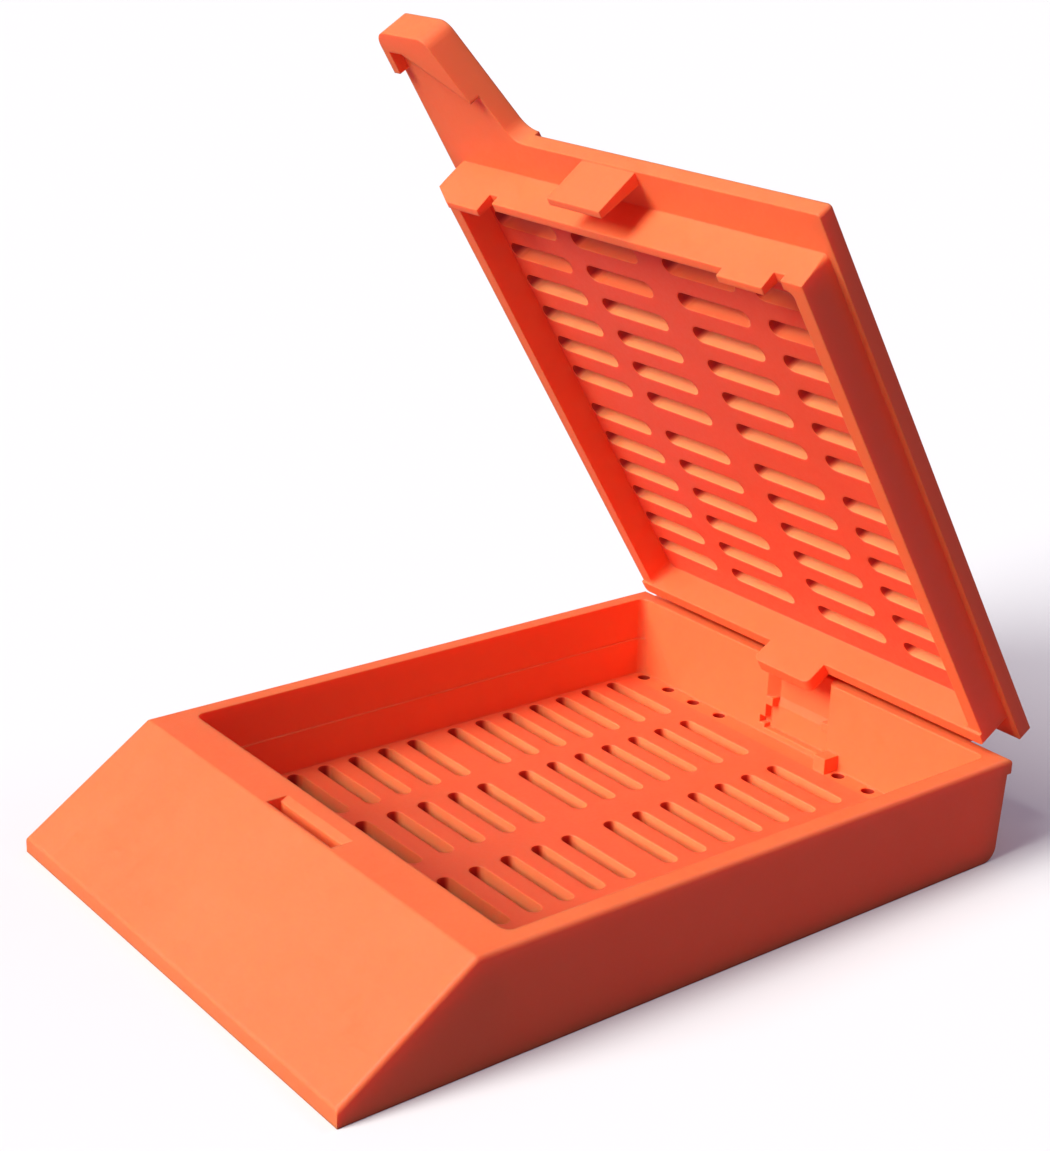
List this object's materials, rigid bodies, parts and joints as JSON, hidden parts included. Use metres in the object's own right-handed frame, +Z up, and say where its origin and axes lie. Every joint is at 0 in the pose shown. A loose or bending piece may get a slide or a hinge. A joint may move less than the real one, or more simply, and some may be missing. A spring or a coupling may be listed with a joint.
{
  "type": "tissue cassette",
  "caption": "Slotted specimen cassette with a sloped writing face, a latch ledge and a hinged slotted lid with a corner pull tab, shown part open.",
  "frame": {"origin": "centre of the tray's flat underside, on the plane it stands on", "axes": "+Z up; +X from the sloped writing face towards the hinge; +Y to the side that carries the pull tab"},
  "size_m": [0.0431, 0.0286, 0.0404],
  "materials": {
    "moulded_acetal": "satin moulded, orange right through"
  },
  "bodies": {
    "tray": {"base_tray": "moulded_acetal", "film_hinge": "moulded_acetal"},
    "lid": {"lid": "moulded_acetal"}
  },
  "joints": [
    {"name": "lid_hinge", "type": "hinge", "parent": "tray", "child": "lid", "pos_m": [0.02166, 0, 0.00467], "axis": [0, 1, 0], "range_deg": [-57.7, 122.3], "deforming": ["film_hinge"]}
  ]
}
